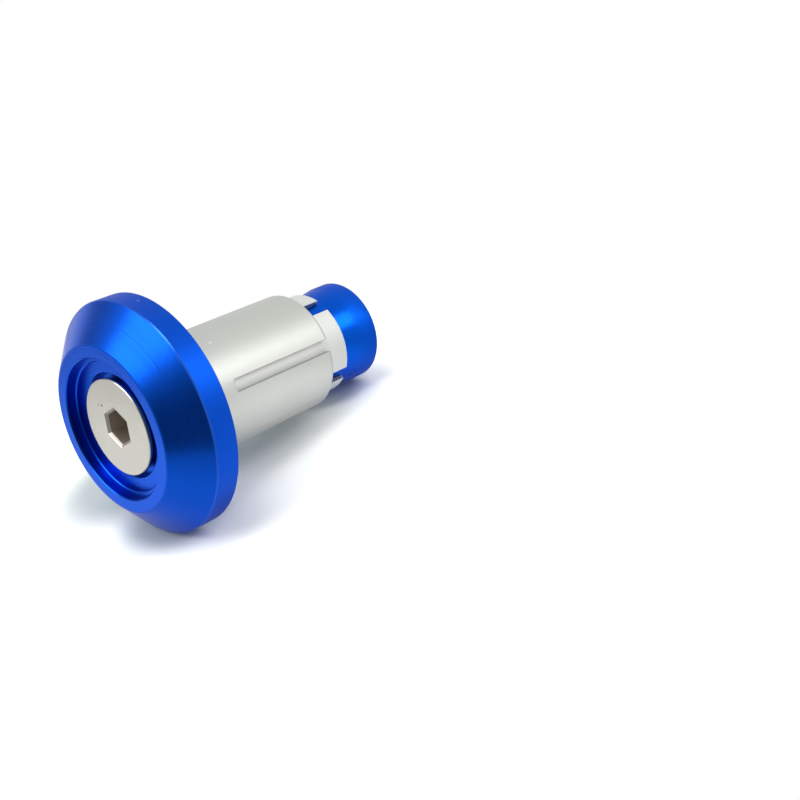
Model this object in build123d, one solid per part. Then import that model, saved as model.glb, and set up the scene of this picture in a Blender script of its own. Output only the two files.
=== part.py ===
"""Bar end weight for a motorbike handlebar.

A turned head closes the open end of the bar. A slotted sleeve and the split collet inside
it stand on the head's back, and a countersunk bolt through all of them draws a tapered
wedge into the collet's mouth, so that the fingers spread and grip the bar from inside.
A groove in the head's back, below the sleeve's outer edge, lets the end of the bar seat flat.

The bar's axis is X. X = 0 is the head's shoulder, the face that the end of the bar meets,
with the head on the -X side and everything that goes into the bar on the +X side.
Sizes are in millimetres and angles in degrees.
"""
from build123d import *
from math import radians, sqrt, tan
import os

# Head: overall size, then the flat rings of its face from the bolt outwards
HEAD_DIAMETER = 30.0
HEAD_THICKNESS = 7.0
RIM_WIDTH = 3.2
FLOOR_RING = 1.65
LEDGE_WIDTH = 0.7
FACE_RING = 1.6
RECESS_DEPTH = 1.0
LEDGE_HEIGHT = 0.6
POCKET_DEPTH = 1.0
GROOVE_WIDTH = 0.7
GROOVE_DEPTH = 0.3
HEAD_EDGE = 0.12

# Clamp bolt, a countersunk socket screw
THREAD_DIAMETER = 6.0
BOLT_HEAD_DIAMETER = 12.4
BOLT_HEAD_LAND = 0.4
BOLT_HEAD_ANGLE = 90.0
BOLT_HEAD_EDGE = 0.1
BOLT_PROUD = 0.6
BOLT_END_INSET = 3.2
BOLT_END_CHAMFER = 0.7
HEX_ACROSS_FLATS = 4.0
HEX_DEPTH = 2.8
HEX_MOUTH_CHAMFER = 0.3
HEX_MOUTH_ANGLE = 45.0
HEX_TURN = 4.0

# Outer sleeve: its slots start that far past the shoulder
SLEEVE_DIAMETER = 15.8
SLEEVE_WALL = 1.0
SLEEVE_LENGTH = 22.6
SLEEVE_END_ROUND = 0.5
SLOT_WIDTH = 1.6
SLOT_START = 6.6
SLOT_COUNT = 2
SLOT_TURN = 77.0

# Split collet: its base ends that far past the shoulder, and its fingers start there
COLLET_STANDOUT = 3.5
COLLET_BASE = 5.0
COLLET_LIP = 0.55
COLLET_END_ROUND = 0.2
SLIT_WIDTH = 2.0
SLIT_COUNT = 4

# Saw cuts of the slots and slits: their rounded inner corners and broken outer edges
CUT_CORNER = 0.35
CUT_EDGE = 0.15

# Wedge nut
WEDGE_LENGTH = 12.0
WEDGE_LAND = 2.5
WEDGE_STANDOUT = 6.1
WEDGE_HALF_ANGLE = 8.0
WEDGE_END_ROUND = 0.5
WEDGE_NOSE_CHAMFER = 0.4
WEDGE_MOUTH_CHAMFER = 0.5

# Clearances: radial ones are for each side, the seat and cone ones run along the axis
POCKET_CLEARANCE = 0.45
SHANK_CLEARANCE = 0.3
THREAD_CLEARANCE = 0.05
SLEEVE_CLEARANCE = 0.05
SEAT_CLEARANCE = 0.05
CONE_CLEARANCE = 0.3

# Places along the axis
FRONT_X = -HEAD_THICKNESS
RIM_FRONT_X = -RIM_WIDTH
LEDGE_X = FRONT_X + RECESS_DEPTH
FLOOR_X = LEDGE_X + LEDGE_HEIGHT
SEAT_X = FLOOR_X + POCKET_DEPTH
GROOVE_X = -GROOVE_DEPTH
COLLET_END_X = SLEEVE_LENGTH + COLLET_STANDOUT
WEDGE_END_X = COLLET_END_X + WEDGE_STANDOUT
WEDGE_NOSE_X = WEDGE_END_X - WEDGE_LENGTH
WEDGE_LAND_X = WEDGE_END_X - WEDGE_LAND
BOLT_FACE_X = FLOOR_X - BOLT_PROUD
BOLT_CONE_X = BOLT_FACE_X + BOLT_HEAD_LAND
BOLT_END_X = WEDGE_END_X - BOLT_END_INSET

# Radii that follow from the sizes above
THREAD_R = THREAD_DIAMETER / 2
SHANK_HOLE_R = THREAD_R + SHANK_CLEARANCE
THREAD_HOLE_R = THREAD_R + THREAD_CLEARANCE
BOLT_HEAD_R = BOLT_HEAD_DIAMETER / 2
POCKET_R = BOLT_HEAD_R + POCKET_CLEARANCE
FLOOR_R = POCKET_R + FLOOR_RING
RECESS_R = FLOOR_R + LEDGE_WIDTH
FACE_R = RECESS_R + FACE_RING
RIM_R = HEAD_DIAMETER / 2
SLEEVE_R = SLEEVE_DIAMETER / 2
GROOVE_INNER_R = SLEEVE_R - GROOVE_WIDTH / 2
GROOVE_OUTER_R = SLEEVE_R + GROOVE_WIDTH / 2
SLEEVE_BORE_R = SLEEVE_R - SLEEVE_WALL
COLLET_R = SLEEVE_BORE_R - SLEEVE_CLEARANCE
COLLET_MOUTH_R = COLLET_R - COLLET_LIP
BOLT_SLOPE = tan(radians(BOLT_HEAD_ANGLE / 2))
WEDGE_SLOPE = tan(radians(WEDGE_HALF_ANGLE))


def mouth_taper_r(x):
    """The radius of the collet's tapered mouth at a place along the axis."""
    return COLLET_MOUTH_R - WEDGE_SLOPE * (COLLET_END_X - x)


def wedge_taper_r(x):
    """The radius of the wedge's taper, which is the collet's with the cone clearance."""
    return mouth_taper_r(x - CONE_CLEARANCE)


def half_section(*points):
    """The face bounded by (x, radius) points, to be turned about the bar's axis."""
    return make_face(Polyline(*points, close=True))


def corners(section, *places):
    """The section's corners that lie nearest to the given (x, radius) places."""
    return [section.vertices().sort_by_distance((x, radius))[0] for x, radius in places]


def turned(section):
    """The solid that a half section sweeps in one full turn about the bar's axis."""
    return revolve(section, Axis.X, 360)


def cut_outline(start_x, end_x, width, grow=0):
    """A saw cut's outline seen from above, which may be drawn larger all round."""
    size = (end_x - start_x + 2 * grow, width + 2 * grow)
    return Pos(X=(start_x + end_x) / 2) * RectangleRounded(*size, CUT_CORNER + grow)


def saw_cut(start_x, end_x, width, outer_r):
    """What a slitting cutter clears above the axis, with the edges broken at the outer radius."""
    top_r = outer_r + CUT_EDGE
    flare_depth = 2 * CUT_EDGE
    above = Plane(origin=(0, 0, top_r), x_dir=(1, 0, 0), z_dir=(0, 0, -1))
    block = extrude(above * cut_outline(start_x, end_x, width), top_r)
    flare = extrude(above * cut_outline(start_x, end_x, width, flare_depth), flare_depth, taper=45)
    return block + flare


def around(cutter, count, first_turn):
    """Copies of a cutter that points up, evenly spaced about the bar's axis."""
    return [Rot(X=first_turn + step * 360 / count) * cutter for step in range(count)]


def hexagon(across_flats):
    """The socket's hexagon at one depth, turned as the bolt stands."""
    return RegularPolygon(across_flats / sqrt(3), 6, rotation=HEX_TURN)


def make_head():
    """The turned head: rim, cone, flat face, stepped recess, bolt seat and the groove behind."""
    seat_tip_x = BOLT_CONE_X + BOLT_HEAD_R / BOLT_SLOPE + SEAT_CLEARANCE
    section = half_section(
        (0, SHANK_HOLE_R),
        (0, GROOVE_INNER_R),
        (GROOVE_X, GROOVE_INNER_R),
        (GROOVE_X, GROOVE_OUTER_R),
        (0, GROOVE_OUTER_R),
        (0, RIM_R),
        (RIM_FRONT_X, RIM_R),
        (FRONT_X, FACE_R),
        (FRONT_X, RECESS_R),
        (LEDGE_X, RECESS_R),
        (LEDGE_X, FLOOR_R),
        (FLOOR_X, FLOOR_R),
        (FLOOR_X, POCKET_R),
        (SEAT_X, POCKET_R),
        (SEAT_X, (seat_tip_x - SEAT_X) * BOLT_SLOPE),
        (seat_tip_x - SHANK_HOLE_R / BOLT_SLOPE, SHANK_HOLE_R),
    )
    sharp = corners(
        section,
        (0, RIM_R),
        (RIM_FRONT_X, RIM_R),
        (FRONT_X, FACE_R),
        (FRONT_X, RECESS_R),
        (LEDGE_X, FLOOR_R),
        (FLOOR_X, POCKET_R),
    )
    return turned(chamfer(sharp, HEAD_EDGE))


def make_bolt():
    """The countersunk bolt with its hexagon socket, its thread shown at the full diameter."""
    neck_x = BOLT_CONE_X + (BOLT_HEAD_R - THREAD_R) / BOLT_SLOPE
    section = half_section(
        (BOLT_FACE_X, 0),
        (BOLT_FACE_X, BOLT_HEAD_R),
        (BOLT_CONE_X, BOLT_HEAD_R),
        (neck_x, THREAD_R),
        (BOLT_END_X, THREAD_R),
        (BOLT_END_X, 0),
    )
    section = chamfer(corners(section, (BOLT_FACE_X, BOLT_HEAD_R)), BOLT_HEAD_EDGE)
    section = chamfer(corners(section, (BOLT_END_X, THREAD_R)), BOLT_END_CHAMFER)

    face = Plane(origin=(BOLT_FACE_X, 0, 0), x_dir=(0, 0, 1), z_dir=(1, 0, 0))
    socket = extrude(face * hexagon(HEX_ACROSS_FLATS), HEX_DEPTH)
    mouth = face * hexagon(HEX_ACROSS_FLATS + 2 * HEX_MOUTH_CHAMFER)
    return turned(section) - socket - extrude(mouth, HEX_MOUTH_CHAMFER, taper=HEX_MOUTH_ANGLE)


def make_sleeve():
    """The outer sleeve, a tube with slots that run out through its far end."""
    section = half_section(
        (0, SLEEVE_BORE_R),
        (0, SLEEVE_R),
        (SLEEVE_LENGTH, SLEEVE_R),
        (SLEEVE_LENGTH, SLEEVE_BORE_R),
    )
    section = fillet(corners(section, (SLEEVE_LENGTH, SLEEVE_R)), SLEEVE_END_ROUND)
    slot = saw_cut(SLOT_START, SLEEVE_LENGTH + SLOT_WIDTH, SLOT_WIDTH, SLEEVE_R)
    return turned(section) - around(slot, SLOT_COUNT, SLOT_TURN)


def make_collet():
    """The split collet: a bored base, thin fingers and a mouth that fits the wedge's taper."""
    finger_bore_r = mouth_taper_r(WEDGE_NOSE_X)
    section = half_section(
        (0, SHANK_HOLE_R),
        (0, COLLET_R),
        (COLLET_END_X, COLLET_R),
        (COLLET_END_X, COLLET_MOUTH_R),
        (WEDGE_NOSE_X, finger_bore_r),
        (COLLET_BASE, finger_bore_r),
        (COLLET_BASE, SHANK_HOLE_R),
    )
    section = fillet(corners(section, (COLLET_END_X, COLLET_R)), COLLET_END_ROUND)
    slit = saw_cut(COLLET_BASE, COLLET_END_X + SLIT_WIDTH, SLIT_WIDTH, COLLET_R)
    between_slots = SLOT_TURN + 180 / SLIT_COUNT
    return turned(section) - around(slit, SLIT_COUNT, between_slots)


def make_wedge():
    """The wedge nut: a threaded taper with a short parallel land at its far end."""
    nose_r = wedge_taper_r(WEDGE_NOSE_X)
    land_r = wedge_taper_r(WEDGE_LAND_X)
    section = half_section(
        (WEDGE_NOSE_X, THREAD_HOLE_R),
        (WEDGE_NOSE_X, nose_r),
        (WEDGE_LAND_X, land_r),
        (WEDGE_END_X, land_r),
        (WEDGE_END_X, THREAD_HOLE_R),
    )
    section = chamfer(corners(section, (WEDGE_NOSE_X, nose_r)), WEDGE_NOSE_CHAMFER)
    section = chamfer(corners(section, (WEDGE_END_X, THREAD_HOLE_R)), WEDGE_MOUTH_CHAMFER)
    section = fillet(corners(section, (WEDGE_END_X, land_r)), WEDGE_END_ROUND)
    return turned(section)


PIECES = {
    "head": make_head,
    "clamp_bolt": make_bolt,
    "outer_sleeve": make_sleeve,
    "split_collet": make_collet,
    "wedge_nut": make_wedge,
}

os.makedirs("parts", exist_ok=True)
for name, make in PIECES.items():
    export_step(make(), f"parts/{name}.step")
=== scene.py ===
"""Looks of the bar end weight: turned, blasted and plated metal, shown on a white studio floor.

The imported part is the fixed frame. Its axis is X, with the head on the -X side and the far
end of the wedge on the +X side. Lengths are in metres unless a name says otherwise.
"""
from __future__ import annotations

import logging
import math
from contextlib import contextmanager
from dataclasses import dataclass, field
from enum import Enum, IntEnum
from itertools import pairwise
from typing import ClassVar, Iterator, Mapping, NamedTuple, Sequence, Union

import bpy
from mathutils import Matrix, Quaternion, Vector

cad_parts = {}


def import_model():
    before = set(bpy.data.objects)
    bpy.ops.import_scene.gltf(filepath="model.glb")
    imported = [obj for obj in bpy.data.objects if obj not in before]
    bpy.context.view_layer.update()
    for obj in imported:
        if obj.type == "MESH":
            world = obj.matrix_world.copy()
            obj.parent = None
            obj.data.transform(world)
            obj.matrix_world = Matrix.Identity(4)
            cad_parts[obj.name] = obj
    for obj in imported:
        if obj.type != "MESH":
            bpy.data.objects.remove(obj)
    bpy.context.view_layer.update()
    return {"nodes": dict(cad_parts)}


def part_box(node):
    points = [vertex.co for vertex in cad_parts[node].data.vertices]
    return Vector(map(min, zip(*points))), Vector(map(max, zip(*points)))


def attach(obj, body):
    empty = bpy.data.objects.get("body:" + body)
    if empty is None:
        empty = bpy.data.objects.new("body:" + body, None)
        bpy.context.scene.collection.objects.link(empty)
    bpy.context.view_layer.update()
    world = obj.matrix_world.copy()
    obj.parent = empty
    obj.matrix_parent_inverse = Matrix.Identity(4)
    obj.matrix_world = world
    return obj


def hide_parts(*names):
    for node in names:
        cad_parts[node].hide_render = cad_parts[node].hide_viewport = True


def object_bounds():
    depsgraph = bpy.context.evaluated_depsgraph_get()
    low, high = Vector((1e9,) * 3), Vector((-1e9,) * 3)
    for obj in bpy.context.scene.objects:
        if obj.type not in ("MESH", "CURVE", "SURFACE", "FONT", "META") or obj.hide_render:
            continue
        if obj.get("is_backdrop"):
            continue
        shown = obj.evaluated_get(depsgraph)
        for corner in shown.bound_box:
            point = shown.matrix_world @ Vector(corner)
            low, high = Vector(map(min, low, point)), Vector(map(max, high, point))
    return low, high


log = logging.getLogger("bar_end_weight")

Colour = tuple[float, float, float, float]
Point = tuple[float, float, float]
Span = tuple[float, float]
ProfilePoint = tuple[float, float]
Operand = Union["Signal", float]
Reading = Union["Signal", float, Point, Colour]

MM = 0.001
WHITE: Colour = (1.0, 1.0, 1.0, 1.0)
NOISE_MEAN = 0.5


class Body(Enum):
    """The bodies that new pieces ride on."""

    BOLT = "bolt"
    WEDGE = "wedge"


class Solid(Enum):
    """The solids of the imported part."""

    HEAD = "head"
    BOLT = "clamp_bolt"
    SLEEVE = "outer_sleeve"
    COLLET = "split_collet"
    WEDGE = "wedge_nut"


class Slot(Enum):
    """The record's material slots of the solids that new pieces replace."""

    STEEL = "bolt_steel"
    BLUE = "blue_anodised"


class Side(Enum):
    """The side of a cut across the axis that is taken away."""

    HEAD = "clear_inner"
    FAR = "clear_outer"


class Join(Enum):
    """How one piece is combined with another."""

    WELD = "UNION"
    CUT = "DIFFERENCE"
    TRIM = "INTERSECT"


class MixSocket(IntEnum):
    """The Mix node's colour sockets by number, because their names are not unique there."""

    FACTOR = 0
    FIRST = 6
    SECOND = 7
    RESULT = 2


class Signal:
    """A shader node's output that takes part in Python arithmetic."""

    def __init__(self, bench: Bench, node: bpy.types.Node, output: str | int) -> None:
        """Wrap one output of a node.

        Args:
            bench: The bench that the node is on.
            node: The node.
            output: The output's name or number.
        """
        self.bench = bench
        self.node = node
        self.output = output

    @property
    def socket(self) -> bpy.types.NodeSocket:
        """The output socket itself."""
        return self.node.outputs[self.output]

    def __add__(self, other: Operand) -> Signal:
        """This plus other."""
        return self.bench.math("ADD", self, other)

    def __radd__(self, other: Operand) -> Signal:
        """Other plus this."""
        return self.bench.math("ADD", other, self)

    def __sub__(self, other: Operand) -> Signal:
        """This minus other."""
        return self.bench.math("SUBTRACT", self, other)

    def __rsub__(self, other: Operand) -> Signal:
        """Other minus this."""
        return self.bench.math("SUBTRACT", other, self)

    def __mul__(self, other: Operand) -> Signal:
        """This times other."""
        return self.bench.math("MULTIPLY", self, other)

    def __rmul__(self, other: Operand) -> Signal:
        """Other times this."""
        return self.bench.math("MULTIPLY", other, self)

    def __truediv__(self, other: Operand) -> Signal:
        """This divided by other."""
        return self.bench.math("DIVIDE", self, other)

    def __rtruediv__(self, other: Operand) -> Signal:
        """Other divided by this."""
        return self.bench.math("DIVIDE", other, self)

    def __pow__(self, other: Operand) -> Signal:
        """This to the power of other."""
        return self.bench.math("POWER", self, other)

    def __rpow__(self, other: Operand) -> Signal:
        """Other to the power of this."""
        return self.bench.math("POWER", other, self)

    def __lt__(self, other: Operand) -> Signal:
        """One where this is below other, and zero elsewhere."""
        return self.bench.math("LESS_THAN", self, other)

    def __gt__(self, other: Operand) -> Signal:
        """One where this is above other, and zero elsewhere."""
        return self.bench.math("GREATER_THAN", self, other)


class Place(NamedTuple):
    """Where a shaded point lies on a piece that was turned about X.

    Attributes:
        point: The point itself.
        along: Its place along the axis.
        radius: Its distance from the axis.
        travel: Its place along and across the axis together, which a turning tool's rings follow.
        inward: One where the surface faces the axis, and minus one where it faces straight out.
    """

    point: Signal
    along: Signal
    radius: Signal
    travel: Signal
    inward: Signal


class Bench:
    """Lays out the nodes of one finish or of the surroundings."""

    def __init__(self, tree: bpy.types.NodeTree) -> None:
        """Take over a node tree and empty it."""
        self.tree = tree
        tree.nodes.clear()

    def add(
        self,
        kind: str,
        settings: Mapping[str, object] | None = None,
        sockets: Mapping[str | int, Reading] | None = None,
        output: str | int = 0,
    ) -> Signal:
        """Add a node.

        Args:
            kind: The node's type name.
            settings: What is set on the node itself, before its sockets.
            sockets: The value or the link of each input that is used.
            output: The output that is handed back.

        Returns:
            The chosen output.
        """
        node = self.tree.nodes.new(kind)
        for name, value in (settings or {}).items():
            setattr(node, name, value)
        for name, value in (sockets or {}).items():
            if isinstance(value, Signal):
                self.tree.links.new(value.socket, node.inputs[name])
            else:
                node.inputs[name].default_value = value
        return Signal(self, node, output)

    def math(self, operation: str, *operands: Operand) -> Signal:
        """The result of one Math node."""
        return self.add("ShaderNodeMath", {"operation": operation}, dict(enumerate(operands)))

    def mix(self, factor: Operand, first: Reading, second: Reading) -> Signal:
        """A colour that goes from first to second as the factor goes from zero to one."""
        sockets = {MixSocket.FACTOR: factor, MixSocket.FIRST: first, MixSocket.SECOND: second}
        return self.add("ShaderNodeMix", {"data_type": "RGBA"}, sockets, MixSocket.RESULT)

    def ease(self, value: Signal, low: float, high: float) -> Signal:
        """Zero up to low, one from high on, and a smooth step between."""
        sockets = {"Value": value, "From Min": low, "From Max": high}
        return self.add("ShaderNodeMapRange", {"interpolation_type": "SMOOTHSTEP"}, sockets)

    def noise(self, point: Signal, grain: float, detail: float = 2.0) -> Signal:
        """Cloudy noise whose grains are that many metres wide."""
        sockets = {"Vector": point, "Scale": 1 / grain, "Detail": detail}
        return self.add("ShaderNodeTexNoise", {}, sockets)

    def lines(self, travel: Signal, pitch: float, detail: float = 1.0) -> Signal:
        """Noise in one direction only, which makes uneven parallel lines."""
        sockets = {"W": travel / pitch, "Scale": 1.0, "Detail": detail}
        return self.add("ShaderNodeTexNoise", {"noise_dimensions": "1D"}, sockets)

    def place(self) -> Place:
        """Find where the shaded point lies.

        Returns:
            Its place on a piece that was turned about X.
        """
        point = self.add("ShaderNodeTexCoord", output="Object")
        normal = self.add("ShaderNodeTexCoord", output="Normal")
        along, across, upward = self.parts(point)
        _, normal_across, normal_upward = self.parts(normal)
        radius = (across * across + upward * upward) ** 0.5
        inward = (normal_across * across + normal_upward * upward) / radius * -1.0
        return Place(point, along, radius, along + radius, inward)

    def parts(self, vector: Signal) -> list[Signal]:
        """A vector's three coordinates."""
        return [self.add("ShaderNodeSeparateXYZ", {}, {"Vector": vector}, axis) for axis in "XYZ"]

    def dot(self, vector: Signal, direction: Point) -> Signal:
        """How far a vector reaches in a direction."""
        settings = {"operation": "DOT_PRODUCT"}
        return self.add("ShaderNodeVectorMath", settings, {0: vector, 1: direction}, "Value")

    def length(self, vector: Signal) -> Signal:
        """How long a vector is."""
        return self.add("ShaderNodeVectorMath", {"operation": "LENGTH"}, {0: vector}, "Value")

    def spots(self, point: Signal, marks: Sequence[Mark]) -> Operand:
        """Show where marks are.

        Args:
            point: The shaded point.
            marks: The marks.

        Returns:
            One at the middle of each mark, fading to zero at its edge.
        """
        total: Operand = 0.0
        for mark in marks:
            settings = {"operation": "DISTANCE"}
            reach = self.add("ShaderNodeVectorMath", settings, {0: point, 1: mark.centre}, "Value")
            total = total + (1 - self.ease(reach, mark.radius * mark.core, mark.radius))
        return total

    def bump(self, height: Signal, depth: float = 1.0) -> Signal:
        """A normal that follows the height, whose full range is that deep."""
        return self.add("ShaderNodeBump", {}, {"Height": height, "Distance": depth})

    def metal(self, sockets: Mapping[str | int, Reading]) -> None:
        """End the tree in a metal surface with these shader sockets."""
        surface = self.add("ShaderNodeBsdfPrincipled", {}, {"Metallic": 1.0, **sockets})
        self.add("ShaderNodeOutputMaterial", {}, {"Surface": surface})


@dataclass(frozen=True)
class Mark:
    """A round mark on a surface, such as a small scuff.

    Attributes:
        centre: Where it is.
        radius: How far it reaches.
        core: The share of that reach where it has its full effect.
    """

    centre: Point
    radius: float
    core: float = 0.4


@dataclass(frozen=True)
class Finish:
    """A surface finish.

    Attributes:
        name: The material's name.
    """

    name: str

    def make(self) -> bpy.types.Material:
        """Make the finish's material.

        Returns:
            The material with all of its nodes.
        """
        material = bpy.data.materials.new(self.name)
        material.use_nodes = True
        self.lay_out(Bench(material.node_tree))
        return material

    def lay_out(self, bench: Bench) -> None:
        """Add the finish's nodes to an empty bench."""
        raise NotImplementedError


@dataclass(frozen=True)
class TurnedBlue(Finish):
    """Dyed aluminium with the fine rings that a lathe tool leaves.

    Attributes:
        dye: The colour of the metal under its dyed film.
        deep_dye: The colour where the film is thicker.
        rim_tint: How much of each colour is left at a glancing angle.
        ring_pitch: How far apart the finest rings are.
        ring_depth: How deep they are.
        band_pitch: How far apart the broad, faint bands are.
        band_depth: How deep they are.
        band_detail: How many layers of finer bands each band has.
        band_blur: How much the blur varies from band to band.
        roughness: The blur besides the rings' own tilt.
        cylinder_blur: The extra blur where the surface faces straight out from the axis.
        cylinder_facing: How squarely it faces outwards where that blur starts and where it is full.
        painted_wall_shade: Painted shade on the walls that face the axis, as in the head's recess.
        wall_shade_facing: How squarely a wall faces the axis where the shade starts and is full.
        edge: The (place along the axis, radius) of a sharp edge where the dye wears and a glint is
            painted, or the origin for none.
        edge_width: How far the edge's wear and painted glint reach from that edge.
        edge_core: The share of that reach where they are strongest.
        edge_wear_and_glint: How much of the scuff's colour the edge's wear and painted glint show.
        marks: Small scuffs.
        scuff: The colour of a scuff, and of the edge's wear and painted glint.
    """

    dye: Colour = (0.003, 0.116, 0.80, 1.0)
    deep_dye: Colour = (0.003, 0.111, 0.765, 1.0)
    rim_tint: Colour = (0.8, 0.83, 0.9, 1.0)
    ring_pitch: float = 0.1 * MM
    ring_depth: float = 0.0117 * MM
    band_pitch: float = 0.6 * MM
    band_depth: float = 0.002 * MM
    band_detail: float = 3.0
    band_blur: float = 0.03
    roughness: float = 0.26
    cylinder_blur: float = 0.16
    cylinder_facing: Span = (0.992, 0.998)
    painted_wall_shade: Colour = (0.002, 0.07, 0.52, 1.0)
    wall_shade_facing: Span = (0.8, 0.95)
    edge: ProfilePoint = (0.0, 0.0)
    edge_width: float = 0.16 * MM
    edge_core: float = 0.5
    edge_wear_and_glint: float = 0.25
    marks: tuple[Mark, ...] = ()
    scuff: Colour = (0.1, 0.25, 0.8, 1.0)

    def lay_out(self, bench: Bench) -> None:
        """Add the dye's bands, painted wall shade and edge glint, the rings' bump and the blur.

        Args:
            bench: The empty bench that they go on.
        """
        place = bench.place()
        rings = bench.lines(place.travel, self.ring_pitch)
        bands = bench.lines(place.travel, self.band_pitch, self.band_detail)
        surface_colour = bench.mix(bands, self.deep_dye, self.dye)
        # Painted shade: walls that face the axis, such as the recess walls, take the darker colour.
        surface_colour = bench.mix(bench.ease(place.inward, *self.wall_shade_facing), surface_colour, self.painted_wall_shade)
        off_along = place.along - self.edge[0]
        off_radius = place.radius - self.edge[1]
        off = (off_along * off_along + off_radius * off_radius) ** 0.5
        # The sharp edge is lighter: partly the dye's wear, partly a painted glint.
        thin_dye_and_glint = 1 - bench.ease(off, self.edge_width * self.edge_core, self.edge_width)
        marked = bench.spots(place.point, self.marks) + thin_dye_and_glint * self.edge_wear_and_glint
        outward = bench.ease(place.inward * -1.0, *self.cylinder_facing)
        uneven = (bands - NOISE_MEAN) * self.band_blur
        height = rings * self.ring_depth + bands * self.band_depth
        bench.metal(
            {
                "Base Color": bench.mix(marked, surface_colour, self.scuff),
                "Specular Tint": self.rim_tint,
                "Roughness": self.roughness + outward * self.cylinder_blur + uneven,
                "Normal": bench.bump(height),
            }
        )


@dataclass(frozen=True)
class PlatedSteel(Finish):
    """Softly polished plated steel that is duller inside the socket, with painted shade there.

    Attributes:
        plate: The plating's colour.
        socket_shade: The colour of the dull metal in the socket, a painted shade.
        socket_radius: A distance from the axis that the socket stays within.
        socket_start: Where the painted shade starts along the axis, just inside the socket's mouth.
        socket_end: Where it ends, past the socket's bottom.
        socket_blur: The extra blur in the socket.
        roughness: The least blur of the plating.
        cloud_grain: How wide the patches of uneven polish are.
        cloud_blur: How much more blur they have at most.
        peel_grain: How wide the orange peel's dimples are.
        peel_depth: How deep they are.
        marks: Small scuffs on the face.
        scuff: The colour of a scuff.
    """

    name: str = "plated_steel"
    plate: Colour = (0.595, 0.585, 0.53, 1.0)
    socket_shade: Colour = (0.5, 0.46, 0.4, 1.0)
    socket_radius: float = 2.8 * MM
    socket_start: float = -5.91 * MM
    socket_end: float = -2.0 * MM
    socket_blur: float = 0.25
    roughness: float = 0.2
    cloud_grain: float = 1.6 * MM
    cloud_blur: float = 0.1
    peel_grain: float = 0.25 * MM
    peel_depth: float = 0.004 * MM
    marks: tuple[Mark, ...] = (
        Mark((-6.0 * MM, 2.28 * MM, 2.52 * MM), 0.22 * MM),
        Mark((-6.0 * MM, 3.0 * MM, 2.49 * MM), 0.15 * MM),
        Mark((-6.0 * MM, 0.25 * MM, 3.49 * MM), 0.13 * MM),
    )
    scuff: Colour = (0.16, 0.155, 0.14, 1.0)

    def lay_out(self, bench: Bench) -> None:
        """Add the plating, its fine orange peel and the painted shade in the socket.

        Args:
            bench: The empty bench that they go on.
        """
        place = bench.place()
        # Painted shade: the socket's inside, from just inside its mouth's chamfer, is darker.
        deep = (place.along > self.socket_start) * (place.along < self.socket_end)
        inside = (place.radius < self.socket_radius) * deep
        cloud = bench.noise(place.point, self.cloud_grain)
        peel = bench.noise(place.point, self.peel_grain)
        marked = bench.spots(place.point, self.marks)
        plated = bench.mix(marked, self.plate, self.scuff)
        bench.metal(
            {
                "Base Color": bench.mix(inside, plated, self.socket_shade),
                "Roughness": self.roughness + cloud * self.cloud_blur + inside * self.socket_blur,
                "Normal": bench.bump(peel, self.peel_depth),
            }
        )


@dataclass(frozen=True)
class BlastedSilver(Finish):
    """Bare aluminium, blasted to a fine satin, with painted shade on the walls of its cuts.

    Attributes:
        bright: The colour of the grains' tops.
        shade: The colour between the grains.
        cut_wall_shade: The colour of the painted shade on the walls of the saw cuts.
        cut_wall_shade_share: How much of that colour the cut walls show.
        nick: The colour of a scuff.
        grain: How wide a grain is.
        grain_detail: How many layers of finer grains each grain has.
        grain_depth: How deep the grains are.
        grain_share: The grains' share in the tone, where the rest is the clouds'.
        grain_blur: How much more blur the grains' tops have.
        cloud_grain: How wide the clouds of uneven tone are.
        roughness: The blur between the grains.
        skin_radius: Metal nearer to the axis than this gets the painted shade of the cut walls.
        skin_end: The end face's place along the axis, from where no shade is painted at any radius.
        marks: Small scuffs.
    """

    bright: Colour = (0.77, 0.785, 0.74, 1.0)
    shade: Colour = (0.69, 0.705, 0.665, 1.0)
    cut_wall_shade: Colour = (0.26, 0.27, 0.26, 1.0)
    cut_wall_shade_share: float = 0.8
    nick: Colour = (0.88, 0.89, 0.86, 1.0)
    grain: float = 0.09 * MM
    grain_detail: float = 3.0
    grain_depth: float = 0.012 * MM
    grain_share: float = 0.6
    grain_blur: float = 0.1
    cloud_grain: float = 5 * MM
    roughness: float = 0.42
    skin_radius: float = 0.0
    skin_end: float = 0.0
    marks: tuple[Mark, ...] = ()

    def lay_out(self, bench: Bench) -> None:
        """Add the grain's tone, blur and bump.

        Args:
            bench: The empty bench that they go on.
        """
        place = bench.place()
        grains = bench.noise(place.point, self.grain, self.grain_detail)
        blasted = self.tone(bench, place, grains)
        # Painted shade on the walls of the saw cuts, inside the outer skin and short of the end face.
        cut_wall_shade = (place.radius < self.skin_radius) * (place.along < self.skin_end)
        marked = bench.spots(place.point, self.marks)
        metal = bench.mix(cut_wall_shade * self.cut_wall_shade_share, blasted, self.cut_wall_shade)
        bench.metal(
            {
                "Base Color": bench.mix(marked, metal, self.nick),
                "Roughness": self.roughness + grains * self.grain_blur,
                "Normal": bench.bump(grains, self.grain_depth),
            }
        )

    def tone(self, bench: Bench, place: Place, grains: Signal) -> Signal:
        """The colour of the blasted metal.

        Args:
            bench: The bench that the nodes go on.
            place: Where the shaded point lies.
            grains: The noise of the grains.

        Returns:
            The colour, between the grains' tops and the shade.
        """
        cloud = bench.noise(place.point, self.cloud_grain)
        level = grains * self.grain_share + cloud * (1 - self.grain_share)
        return bench.mix(level, self.shade, self.bright)


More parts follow.
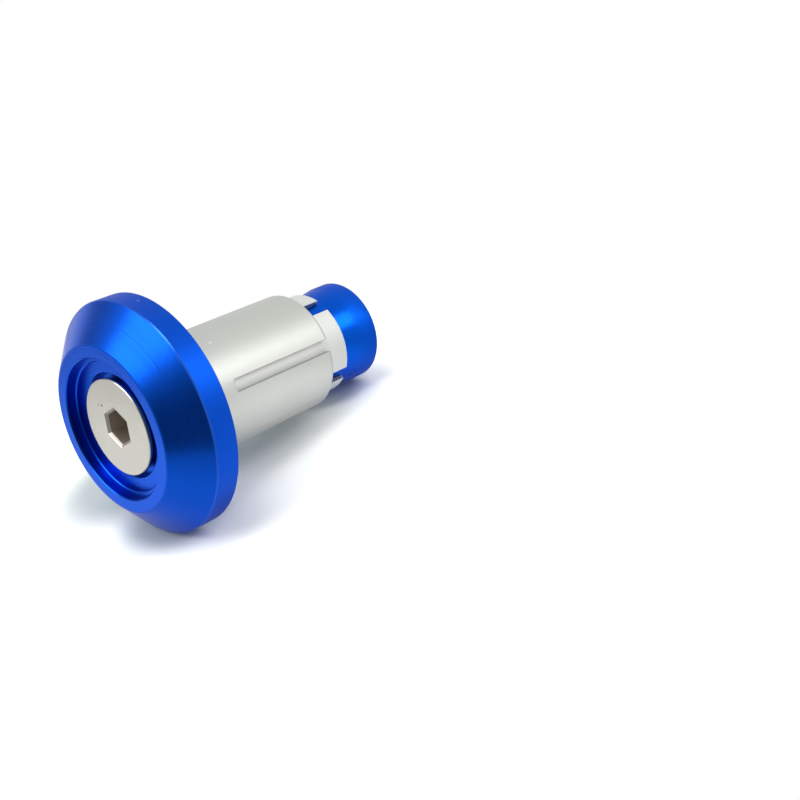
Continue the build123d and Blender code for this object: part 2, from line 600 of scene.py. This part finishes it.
@dataclass(frozen=True)
class SlotLitSilver(BlastedSilver):
    """Blasted metal that is painted lighter under a cover than where nothing covers it.

    Attributes:
        uncovered: The colour where nothing covers the metal.
        cover_end: Where the cover ends along the axis.
        fade: How far under the cover the colour already goes over to the uncovered one.
    """

    uncovered: Colour = (0.84, 0.855, 0.83, 1.0)
    cover_end: float = 0.0
    fade: float = 2.5 * MM

    def tone(self, bench: Bench, place: Place, grains: Signal) -> Signal:
        """The colour of the blasted metal.

        Args:
            bench: The bench that the nodes go on.
            place: Where the shaded point lies.
            grains: The noise of the grains.

        Returns:
            The colour, painted lighter under the cover and plain past its end.
        """
        # Painted light: the metal under the cover, seen through the slot, is lighter than its shade
        # there.
        painted_lit = super().tone(bench, place, grains)
        uncovered_share = bench.ease(place.along, self.cover_end - self.fade, self.cover_end)
        return bench.mix(uncovered_share, painted_lit, self.uncovered)


@dataclass(frozen=True)
class FloorFade:
    """A stretch over which the mirrored floor is painted brighter in one direction.

    Attributes:
        direction: The direction.
        start: Where the brightening starts in that direction.
        end: Where it ends.
    """

    direction: Point
    start: float
    end: float


@dataclass(frozen=True)
class WhiteFloor(Finish):
    """A matt white floor, clear from below so that low views pass through it, with painted shade.

    Attributes:
        tone: The floor's colour as the part mirrors it.
        dim: The same further out in front, where less light falls.
        shown: The floor's colour as the camera sees it.
        shade: The painted shadow's colour close to the part, as the camera sees the floor.
        painted_shadows: Where the painted shadows are.
        fades: Where the mirrored colour goes from dim to tone, as painted shade.
        contact: Where the mirrored colour is painted dimmer under the head, as painted shade.
        contact_dimming: How much dimmer the painted shade makes it there.
        burn_start: How far from the origin the floor starts to burn out for the camera.
        burn_end: Where it is all white.
    """

    name: str = "white_floor"
    tone: Colour = (0.96, 0.96, 0.96, 1.0)
    dim: Colour = (0.5, 0.5, 0.5, 1.0)
    shown: Colour = (1.25, 1.27, 1.24, 1.0)
    shade: Colour = (0.56, 0.62, 0.63, 1.0)
    painted_shadows: tuple[Mark, ...] = (
        Mark((18 * MM, 10 * MM, -10.4 * MM), 18 * MM),
        Mark((3 * MM, 17 * MM, -14.2 * MM), 13 * MM),
        Mark((0.0, 2 * MM, -15 * MM), 9.5 * MM),
        Mark((28.5 * MM, 0.0, -7.7 * MM), 6 * MM),
    )
    fades: tuple[FloorFade, ...] = (
        FloorFade((0.6, 0.8, 0.0), -34 * MM, 0.0),
        FloorFade((-1.0, 0.0, 0.0), -40 * MM, -27 * MM),
    )
    contact: Mark = Mark((-8 * MM, 0.0, -17 * MM), 20 * MM)
    contact_dimming: float = 0.5
    burn_start: float = 45 * MM
    burn_end: float = 75 * MM

    def lay_out(self, bench: Bench) -> None:
        """Add the matt upper side with its painted shade, and the clear lower side.

        Args:
            bench: The empty bench that they go on.
        """
        seen = bench.add("ShaderNodeLightPath", output="Is Camera Ray")
        point = bench.add("ShaderNodeTexCoord", output="Object")
        # Painted shade in the floor as the part mirrors it: dimmer under the head and further out.
        light = 1 - bench.spots(point, [self.contact]) * self.contact_dimming
        for fade in self.fades:
            light = light * bench.ease(bench.dot(point, fade.direction), fade.start, fade.end)
        # Painted shadows on the floor as the camera sees it, close to the part.
        shown = bench.mix(bench.spots(point, self.painted_shadows), self.shown, self.shade)
        colour = bench.mix(seen, bench.mix(light, self.dim, self.tone), shown)
        sockets = {"Base Color": colour, "Roughness": 1.0, "Specular IOR Level": 0.0}
        matt = bench.add("ShaderNodeBsdfPrincipled", {}, sockets)
        white = bench.add("ShaderNodeEmission", {}, {"Color": WHITE, "Strength": 1.0})
        burnt = bench.ease(bench.length(point), self.burn_start, self.burn_end) * seen
        above = bench.add("ShaderNodeMixShader", {}, {0: burnt, 1: matt, 2: white})
        clear = bench.add("ShaderNodeBsdfTransparent")
        below = bench.add("ShaderNodeNewGeometry", output="Backfacing")
        surface = bench.add("ShaderNodeMixShader", {}, {0: below, 1: above, 2: clear})
        bench.add("ShaderNodeOutputMaterial", {}, {"Surface": surface})


class Workpiece:
    """A mesh object while it is being modelled.

    Attributes:
        merge_reach: How close points lie that are joined.
        saw_reach: How close to a saw cut a point counts as lying on it.
        smooth_angle: The widest angle between faces that is shaded as smooth.
        obj: The object.
    """

    merge_reach: ClassVar[float] = 0.001 * MM
    saw_reach: ClassVar[float] = 0.0001 * MM
    smooth_angle: ClassVar[float] = math.radians(32.0)

    def __init__(self, obj: bpy.types.Object) -> None:
        """Take hold of an object."""
        self.obj = obj

    @classmethod
    def copy_of(cls, node: bpy.types.Object, name: str) -> Workpiece:
        """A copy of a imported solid, with its loose triangles merged.

        Args:
            node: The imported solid, which stays as it is.
            name: The copy's name.

        Returns:
            The copy, free of the solid's stored normals.
        """
        copy = bpy.data.objects.new(name, node.data.copy())
        bpy.context.scene.collection.objects.link(copy)
        piece = cls(copy)
        piece.take()
        bpy.ops.mesh.customdata_custom_splitnormals_clear()
        piece.merge()
        return piece

    @classmethod
    def line(cls, name: str, points: Sequence[ProfilePoint]) -> Workpiece:
        """A line drawn through points in the half plane above the axis.

        Args:
            name: The line's name.
            points: Its (place along the axis, radius) points in order.

        Returns:
            The line.
        """
        bpy.ops.object.select_all(action="DESELECT")
        bpy.ops.mesh.primitive_plane_add(size=MM)
        piece = cls(bpy.context.active_object)
        piece.obj.name = name
        with piece.edit():
            bpy.ops.mesh.merge(type="CENTER")
            along, radius = points[0]
            bpy.ops.transform.translate(value=(along, 0.0, radius))
            for (along, radius), (next_along, next_radius) in pairwise(points):
                step = (next_along - along, 0.0, next_radius - radius)
                bpy.ops.mesh.extrude_region_move(TRANSFORM_OT_translate={"value": step})
        return piece

    @classmethod
    def turned(cls, name: str, points: Sequence[ProfilePoint], steps: int) -> Workpiece:
        """A solid that a line sweeps in one turn about the axis.

        Args:
            name: The solid's name.
            points: The line's (place along the axis, radius) points, both ends on the axis.
            steps: The facets in the turn.

        Returns:
            The solid.
        """
        piece = cls.line(name, points)
        with piece.edit():
            bpy.ops.mesh.spin(
                steps=steps, angle=math.tau, center=(0.0, 0.0, 0.0), axis=(1.0, 0.0, 0.0)
            )
        piece.merge()
        piece.face_outwards()
        return piece

    def take(self) -> None:
        """Select this piece alone."""
        bpy.ops.object.select_all(action="DESELECT")
        self.obj.select_set(True)
        bpy.context.view_layer.objects.active = self.obj

    @contextmanager
    def edit(self) -> Iterator[None]:
        """Open this piece alone in edit mode.

        Yields:
            Nothing, while the whole mesh is selected.
        """
        self.take()
        bpy.ops.object.mode_set(mode="EDIT")
        bpy.ops.mesh.select_all(action="SELECT")
        yield
        bpy.ops.object.mode_set(mode="OBJECT")

    def merge(self) -> None:
        """Join the points that lie together."""
        with self.edit():
            bpy.ops.mesh.remove_doubles(threshold=self.merge_reach)

    def face_outwards(self) -> None:
        """Turn every face to the outside."""
        with self.edit():
            bpy.ops.mesh.normals_make_consistent(inside=False)

    def screw(self, lead: float, turns: int, steps: int) -> None:
        """Sweep the line round the axis along a right-hand helix.

        Args:
            lead: How far one turn leads along the axis.
            turns: The number of turns.
            steps: The facets in a turn.
        """
        self.take()
        bpy.ops.object.modifier_add(type="SCREW")
        helix = self.obj.modifiers[-1]
        helix.axis = "X"
        helix.screw_offset = lead
        helix.iterations = turns
        helix.steps = steps
        helix.render_steps = steps
        bpy.ops.object.modifier_apply(modifier=helix.name)
        self.merge()

    def cut(self, along: float, away: Side) -> None:
        """Saw the piece square across and close the cut.

        Args:
            along: Where the cut is along the axis.
            away: The side that is taken away.
        """
        with self.edit():
            bpy.ops.mesh.bisect(
                plane_co=(along, 0.0, 0.0),
                plane_no=(1.0, 0.0, 0.0),
                use_fill=True,
                threshold=self.saw_reach,
                **{away.value: True},
            )

    def combine(self, tool: Workpiece, join: Join) -> None:
        """Combine the piece with another one.

        Args:
            tool: The other piece, which is used up.
            join: How the two are combined.
        """
        self.take()
        bpy.ops.object.modifier_add(type="BOOLEAN")
        boolean = self.obj.modifiers[-1]
        boolean.operation = join.value
        boolean.solver = "EXACT"
        boolean.object = tool.obj
        bpy.ops.object.modifier_apply(modifier=boolean.name)
        bpy.data.objects.remove(tool.obj)

    def complete(self, material: bpy.types.Material, body: Body, slot: Slot, node: Solid) -> None:
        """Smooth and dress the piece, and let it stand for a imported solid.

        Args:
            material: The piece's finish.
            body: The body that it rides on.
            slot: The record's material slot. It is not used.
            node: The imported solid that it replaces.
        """
        self.merge()
        self.face_outwards()
        self.take()
        bpy.ops.object.shade_smooth_by_angle(angle=self.smooth_angle)
        self.obj.data.materials.clear()
        self.obj.data.materials.append(material)
        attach(self.obj, body.value)
        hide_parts(node.value)


@dataclass(frozen=True)
class Thread:
    """A right-hand screw thread about the axis, with the standard 60 degree form.

    Attributes:
        pitch: How far one turn leads.
        crest_radius: The radius over the crests.
        crest_flat: The width of a crest as a share of the pitch.
        root_flat: The width of a root as a share of the pitch.
        half_angle: Half of the angle between two flanks, in degrees.
        spare_turns: The turns that a rod has past each end before it is cut.
        steps: The facets in a turn.
        phase: Where a turn starts, in facets past a whole multiple of the pitch. It is no round
            number, so that a square cut misses the rings of points.
    """

    pitch: float = 1.0 * MM
    crest_radius: float = 3.0 * MM
    crest_flat: float = 0.125
    root_flat: float = 0.25
    half_angle: float = 30.0
    spare_turns: int = 2
    steps: int = 48
    phase: float = 0.3

    @property
    def flank(self) -> float:
        """The width of a flank as a share of the pitch."""
        return (1 - self.crest_flat - self.root_flat) / 2

    @property
    def depth(self) -> float:
        """How far the roots lie below the crests."""
        return self.flank * self.pitch / math.tan(math.radians(self.half_angle))

    def rod(self, name: str, start: float, end: float, swell: float = 0.0) -> Workpiece:
        """A threaded rod.

        Args:
            name: The rod's name.
            start: Where it starts along the axis.
            end: Where it ends.
            swell: How much larger than the thread's own size its radius is.

        Returns:
            The rod, whose turns start at the same phase as any other rod's, so that they mesh.
        """
        crest = self.crest_radius + swell
        root = crest - self.depth
        first = math.floor(start / self.pitch) - self.spare_turns + self.phase / self.steps
        turns = math.ceil((end - start) / self.pitch) + 2 * self.spare_turns
        shares = ((0.0, root), (self.flank, crest), (self.flank + self.crest_flat, crest))
        shares += ((1 - self.root_flat, root), (1.0, root))
        points = [((first + share) * self.pitch, radius) for share, radius in shares]
        rod = Workpiece.line(name, points)
        rod.screw(self.pitch, turns, self.steps)
        rod.cut(start, Side.HEAD)
        rod.cut(end, Side.FAR)
        rod.face_outwards()
        return rod


@dataclass
class ClampBolt:
    """The countersunk bolt, with a real thread on its far part.

    Attributes:
        thread: The bolt's thread.
        thread_start: Where the thread starts along the axis.
        overlap: How far the threaded rod reaches into the plain shank.
        end_chamfer: The chamfer at the thread's end.
        finish: The bolt's finish.
    """

    thread: Thread = Thread()
    thread_start: float = 8.0 * MM
    overlap: float = 0.5 * MM
    end_chamfer: float = 0.7 * MM
    finish: PlatedSteel = PlatedSteel()

    def build(self, node: bpy.types.Object) -> Workpiece:
        """Saw the shank off a copy of the bolt and weld a threaded rod on.

        Args:
            node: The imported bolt.

        Returns:
            The threaded bolt.
        """
        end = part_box(Solid.BOLT.value)[1].x
        bolt = Workpiece.copy_of(node, "threaded_bolt")
        bolt.cut(self.thread_start, Side.FAR)
        rod_start = self.thread_start - self.overlap
        rod = self.thread.rod("bolt_thread", rod_start, end)
        reach = self.thread.crest_radius + self.overlap
        tip = self.thread.crest_radius - self.end_chamfer
        outline = ((rod_start - self.overlap, 0.0), (rod_start - self.overlap, reach))
        outline += ((end - reach + tip, reach), (end, tip), (end, 0.0))
        rod.combine(Workpiece.turned("bolt_tip", outline, self.thread.steps), Join.TRIM)
        bolt.combine(rod, Join.WELD)
        return bolt

    def make(self, nodes: Mapping[str, bpy.types.Object]) -> list[bpy.types.Object]:
        """Build the bolt and dress it.

        Args:
            nodes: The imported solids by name.

        Returns:
            The bolt.
        """
        bolt = self.build(nodes[Solid.BOLT.value])
        bolt.complete(self.finish.make(), Body.BOLT, Slot.STEEL, Solid.BOLT)
        return [bolt.obj]


@dataclass
class WedgeNut:
    """The tapered nut, tapped to run on the bolt.

    Attributes:
        thread: The bolt's thread.
        clearance: The play between the two threads, measured on the radius.
        filling_grip: How far the bore's filling reaches into the wall round it.
        nose_relief: How far from the nose the thread starts.
        mouth_chamfer: The chamfer at the far end of the bore.
        finish: The nut's finish.
    """

    thread: Thread = Thread()
    clearance: float = 0.05 * MM
    filling_grip: float = 0.3 * MM
    nose_relief: float = 0.3 * MM
    mouth_chamfer: float = 0.5 * MM
    finish: TurnedBlue = TurnedBlue("wedge_blue", ring_depth=0.01 * MM)

    def build(self, node: bpy.types.Object) -> Workpiece:
        """Fill the bore of a copy of the nut and tap it.

        Args:
            node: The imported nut.

        Returns:
            The tapped nut.
        """
        low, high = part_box(Solid.WEDGE.value)
        wedge = Workpiece.copy_of(node, "tapped_wedge")
        start = low.x + self.nose_relief
        end = high.x - self.mouth_chamfer
        reach = self.thread.crest_radius + self.clearance + self.filling_grip
        outline = ((start, 0.0), (start, reach), (end, reach), (end, 0.0))
        wedge.combine(Workpiece.turned("bore_filling", outline, self.thread.steps), Join.WELD)
        pitch = self.thread.pitch
        tap = self.thread.rod("tap", low.x - pitch, high.x + pitch, self.clearance)
        wedge.combine(tap, Join.CUT)
        return wedge

    def make(self, nodes: Mapping[str, bpy.types.Object]) -> list[bpy.types.Object]:
        """Build the nut and dress it.

        Args:
            nodes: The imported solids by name.

        Returns:
            The nut.
        """
        wedge = self.build(nodes[Solid.WEDGE.value])
        wedge.complete(self.finish.make(), Body.WEDGE, Slot.BLUE, Solid.WEDGE)
        return [wedge.obj]


@dataclass
class Plug:
    """The head with the sleeve and the collet behind it, which stay still in the bar.

    Attributes:
        skin: How far inside the outer surface and end face the cut walls' painted shade starts.
        collet_bright: The colour of the collet's grains, painted lighter where the slot shows them.
        collet_shade: The colour between them, painted lighter likewise.
        collet_cut_wall_shade: The colour of the painted shade on the collet's cut walls.
        collet_roughness: The blur of the collet's blasted metal.
        head_finish: The head's finish.
        sleeve_marks: Small scuffs on the sleeve.
    """

    skin: float = 0.1 * MM
    collet_bright: Colour = (0.98, 0.99, 0.97, 1.0)
    collet_shade: Colour = (0.93, 0.94, 0.92, 1.0)
    collet_cut_wall_shade: Colour = (0.2, 0.22, 0.24, 1.0)
    collet_roughness: float = 0.58
    head_finish: TurnedBlue = TurnedBlue(
        "head_blue",
        dye=(0.005, 0.102, 0.74, 1.0),
        deep_dye=(0.005, 0.098, 0.71, 1.0),
        # Painted shade on the recess walls that face the axis.
        painted_wall_shade=(0.001, 0.04, 0.32, 1.0),
        edge=(-3.2 * MM, 15.0 * MM),
        marks=(Mark((-1.33 * MM, -3.24 * MM, 14.65 * MM), 0.3 * MM),),
    )
    sleeve_marks: tuple[Mark, ...] = (Mark((6.85 * MM, -3.91 * MM, 6.87 * MM), 0.3 * MM),)

    def make(self, nodes: Mapping[str, bpy.types.Object]) -> list[bpy.types.Object]:
        """Dress the three solids.

        Args:
            nodes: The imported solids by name.

        Returns:
            The head, the sleeve and the collet.
        """
        sleeve_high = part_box(Solid.SLEEVE.value)[1]
        collet_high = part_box(Solid.COLLET.value)[1]
        sleeve = BlastedSilver(
            "sleeve_silver",
            skin_radius=sleeve_high.z - self.skin,
            skin_end=sleeve_high.x - self.skin,
            marks=self.sleeve_marks,
        )
        collet = SlotLitSilver(
            "collet_silver",
            bright=self.collet_bright,
            shade=self.collet_shade,
            cut_wall_shade=self.collet_cut_wall_shade,
            roughness=self.collet_roughness,
            cover_end=sleeve_high.x,
            skin_radius=collet_high.z - self.skin,
            skin_end=collet_high.x - self.skin,
        )
        finishes = {Solid.HEAD: self.head_finish, Solid.SLEEVE: sleeve, Solid.COLLET: collet}
        return [self.dress(nodes[solid.value], finish) for solid, finish in finishes.items()]

    @staticmethod
    def dress(node: bpy.types.Object, finish: Finish) -> bpy.types.Object:
        """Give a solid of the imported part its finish.

        Args:
            node: The solid.
            finish: The finish.

        Returns:
            The solid.
        """
        material = finish.make()
        for slot in node.material_slots:
            slot.material = material
        return node


@dataclass(frozen=True)
class Softbox:
    """A rectangular studio light that faces the part.

    Attributes:
        name: The light's name.
        azimuth: Its bearing round the floor's upright in degrees, 0 towards -Y and 90 towards +X.
        elevation: Its height above the floor in degrees.
        width: Its width.
        height: Its height.
        brightness: How bright its face is, where the lit floor is about 1.
    """

    name: str
    azimuth: float
    elevation: float
    width: float
    height: float
    brightness: float

    def hang(self, studio: Studio) -> None:
        """Hang the light.

        Args:
            studio: The studio that it hangs in.
        """
        outward = studio.bearing(self.azimuth, self.elevation)
        light = bpy.data.lights.new(self.name, "AREA")
        light.shape = "RECTANGLE"
        light.size = self.width
        light.size_y = self.height
        light.energy = self.brightness * math.pi * self.width * self.height
        lamp = bpy.data.objects.new(self.name, light)
        lamp.location = studio.middle + outward * studio.light_distance
        lamp.rotation_mode = "QUATERNION"
        lamp.rotation_quaternion = outward.to_track_quat("Z", "Y")
        bpy.context.scene.collection.objects.link(lamp)
        log.info("softbox %s", self.name)


@dataclass(frozen=True)
class WallPatch:
    """A round patch of the surroundings with its own brightness.

    Attributes:
        azimuth: Its bearing round the floor's upright in degrees.
        elevation: Its height above the floor in degrees.
        core: The half angle where it has its full effect, in degrees.
        edge: The half angle where it ends, in degrees.
        brightness: How bright it is.
    """

    azimuth: float
    elevation: float
    core: float
    edge: float
    brightness: float


@dataclass
class Studio:
    """The floor that the part lies on, the lights, the surroundings and the camera.

    Attributes:
        floor_radius: How far the floor reaches from its own middle.
        floor_shift: How far the floor's middle lies from the part.
        floor_azimuth: The bearing of the floor's middle in degrees.
        floor_corners: The corners of its round edge.
        bend: How long the round fold is that levels the floor at the wedge's far end.
        bend_lead: The share of the fold that lies ahead of that end.
        bend_steps: The facets in the fold.
        run_out: How far the floor goes on past the fold.
        light_distance: How far the softboxes hang from the part.
        softboxes: The lights.
        wall: How bright the surroundings are.
        patches: Where the surroundings are brighter or darker than that.
        camera_place: Where the camera stands.
        camera_aim: What it looks at.
        camera_roll: How far it is turned about its own line of sight, in degrees.
        camera_lens: Its focal length in millimetres.
        camera_clip: The nearest distance that it shows.
        contact: Where the rim's back edge touches the floor.
        heel: Where the wedge's far end touches it.
        forward: The direction along the floor from the rim to the wedge's far end.
        upright: The direction straight up from the floor.
        middle: The part's middle.
    """

    floor_radius: float = 0.17
    floor_shift: float = 0.11
    floor_azimuth: float = 115.0
    floor_corners: int = 128
    bend: float = 8 * MM
    bend_lead: float = 0.53
    bend_steps: int = 12
    run_out: float = 0.24
    light_distance: float = 0.45
    softboxes: tuple[Softbox, ...] = (
        Softbox("back_left_softbox", -112.0, 54.0, 0.32, 0.25, 2.4),
        Softbox("front_right_softbox", 36.0, 28.0, 0.17, 0.22, 2.9),
        Softbox("overhead_softbox", -30.0, 80.0, 0.18, 0.18, 5.4),
    )
    wall: float = 0.68
    patches: tuple[WallPatch, ...] = (
        WallPatch(-64.0, 5.0, 16.0, 46.0, 0.14),
        WallPatch(-172.0, 27.0, 5.0, 17.0, 0.4),
        WallPatch(172.0, 2.0, 8.0, 18.0, 0.95),
    )
    camera_place: Point = (-75.598 * MM, -120.457 * MM, 46.541 * MM)
    camera_aim: Point = (20.346 * MM, -21.265 * MM, -3.224 * MM)
    camera_roll: float = -9.009
    camera_lens: float = 54.0
    camera_clip: float = 5 * MM
    contact: Vector = field(init=False)
    heel: Vector = field(init=False)
    forward: Vector = field(init=False)
    upright: Vector = field(init=False)
    middle: Vector = field(init=False)

    def __post_init__(self) -> None:
        """Find the floor under the rim and the wedge, and the part's middle."""
        head_low, head_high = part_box(Solid.HEAD.value)
        wedge_low, wedge_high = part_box(Solid.WEDGE.value)
        self.contact = Vector((head_high.x, 0.0, head_low.z))
        self.heel = Vector((wedge_high.x, 0.0, wedge_low.z))
        self.forward = (self.heel - self.contact).normalized()
        self.upright = self.forward.cross(Vector((0.0, 1.0, 0.0)))
        low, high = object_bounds()
        self.middle = (low + high) / 2

    def bearing(self, azimuth: float, elevation: float) -> Vector:
        """Find a direction from the part.

        Args:
            azimuth: Its bearing round the floor's upright in degrees, 0 towards -Y.
            elevation: Its height above the floor in degrees.

        Returns:
            The direction.
        """
        turn = math.radians(azimuth)
        lift = math.radians(elevation)
        level = self.forward * math.sin(turn) + Vector((0.0, -1.0, 0.0)) * math.cos(turn)
        return level * math.cos(lift) + self.upright * math.sin(lift)

    def lay_floor(self) -> None:
        """Lay the floor where the rim and the wedge's far end touch it."""
        tilt = Vector((0.0, 0.0, 1.0)).rotation_difference(self.upright).to_euler()
        bpy.ops.object.select_all(action="DESELECT")
        bpy.ops.mesh.primitive_circle_add(
            vertices=self.floor_corners,
            radius=self.floor_radius,
            fill_type="NGON",
            location=self.contact + self.bearing(self.floor_azimuth, 0.0) * self.floor_shift,
            rotation=tilt,
        )
        floor = bpy.context.active_object
        floor.name = "studio_floor"
        bpy.ops.object.transform_apply(location=True, rotation=True, scale=True)
        self.fold_floor(Workpiece(floor))
        floor.data.materials.append(WhiteFloor().make())
        floor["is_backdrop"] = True
        log.info("stage %s", floor.name)

    def fold_floor(self, floor: Workpiece) -> None:
        """Fold the floor past the wedge's far end, so that the wedge can slide out over it.

        Args:
            floor: The flat floor, which runs along the axis past the fold.
        """
        start = self.heel - self.forward * (self.bend * self.bend_lead)
        level = Vector((1.0, 0.0, 0.0))
        stride = self.bend / self.bend_steps
        # Each facet points the way that the fold has at the facet's middle.
        shares = [(index + 0.5) / self.bend_steps for index in range(self.bend_steps)]
        steps = [self.forward.slerp(level, share) * stride for share in shares]
        with floor.edit():
            bpy.ops.mesh.bisect(plane_co=start, plane_no=self.forward, clear_outer=True)
            for step in (*steps, level * self.run_out):
                bpy.ops.mesh.extrude_region_move(TRANSFORM_OT_translate={"value": step})

    def paint_walls(self) -> None:
        """Surround the part with light that has bright and dark patches, and a white backdrop."""
        world = bpy.data.worlds.new("studio_walls")
        world.use_nodes = True
        bpy.context.scene.world = world
        bench = Bench(world.node_tree)
        toward = bench.add("ShaderNodeTexCoord", output="Generated")
        strength: Operand = self.wall
        for patch in self.patches:
            facing = bench.dot(toward, tuple(self.bearing(patch.azimuth, patch.elevation)))
            edge = math.cos(math.radians(patch.edge))
            core = math.cos(math.radians(patch.core))
            strength = strength + bench.ease(facing, edge, core) * (patch.brightness - self.wall)
        around = bench.add("ShaderNodeBackground", {}, {"Color": WHITE, "Strength": strength})
        backdrop = bench.add("ShaderNodeBackground", {}, {"Color": WHITE, "Strength": 1.0})
        seen = bench.add("ShaderNodeLightPath", output="Is Camera Ray")
        surface = bench.add("ShaderNodeMixShader", {}, {0: seen, 1: around, 2: backdrop})
        bench.add("ShaderNodeOutputWorld", {}, {"Surface": surface})

    def set_camera(self) -> None:
        """Stand the camera where the photograph was taken from."""
        optics = bpy.data.cameras.new("photo_camera")
        optics.lens = self.camera_lens
        optics.clip_start = self.camera_clip
        camera = bpy.data.objects.new("photo_camera", optics)
        camera.location = self.camera_place
        sight = Vector(self.camera_aim) - camera.location
        roll = Quaternion((0.0, 0.0, 1.0), math.radians(self.camera_roll))
        camera.rotation_mode = "QUATERNION"
        camera.rotation_quaternion = sight.to_track_quat("-Z", "Y") @ roll
        bpy.context.scene.collection.objects.link(camera)
        bpy.context.scene.camera = camera
        bpy.context.scene.view_settings.view_transform = "Standard"

    def set_up(self) -> None:
        """Set up the whole studio."""
        self.lay_floor()
        self.paint_walls()
        for softbox in self.softboxes:
            softbox.hang(self)
        self.set_camera()


def main() -> None:
    """Build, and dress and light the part."""
    logging.basicConfig(level=logging.INFO, format="%(message)s")
    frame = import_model()
    for sub_assembly in (Plug(), ClampBolt(), WedgeNut()):
        for piece in sub_assembly.make(frame["nodes"]):
            log.info("piece %s: %s", piece.name, piece.material_slots[0].material.name)
    Studio().set_up()


if __name__ == "__main__":
    main()
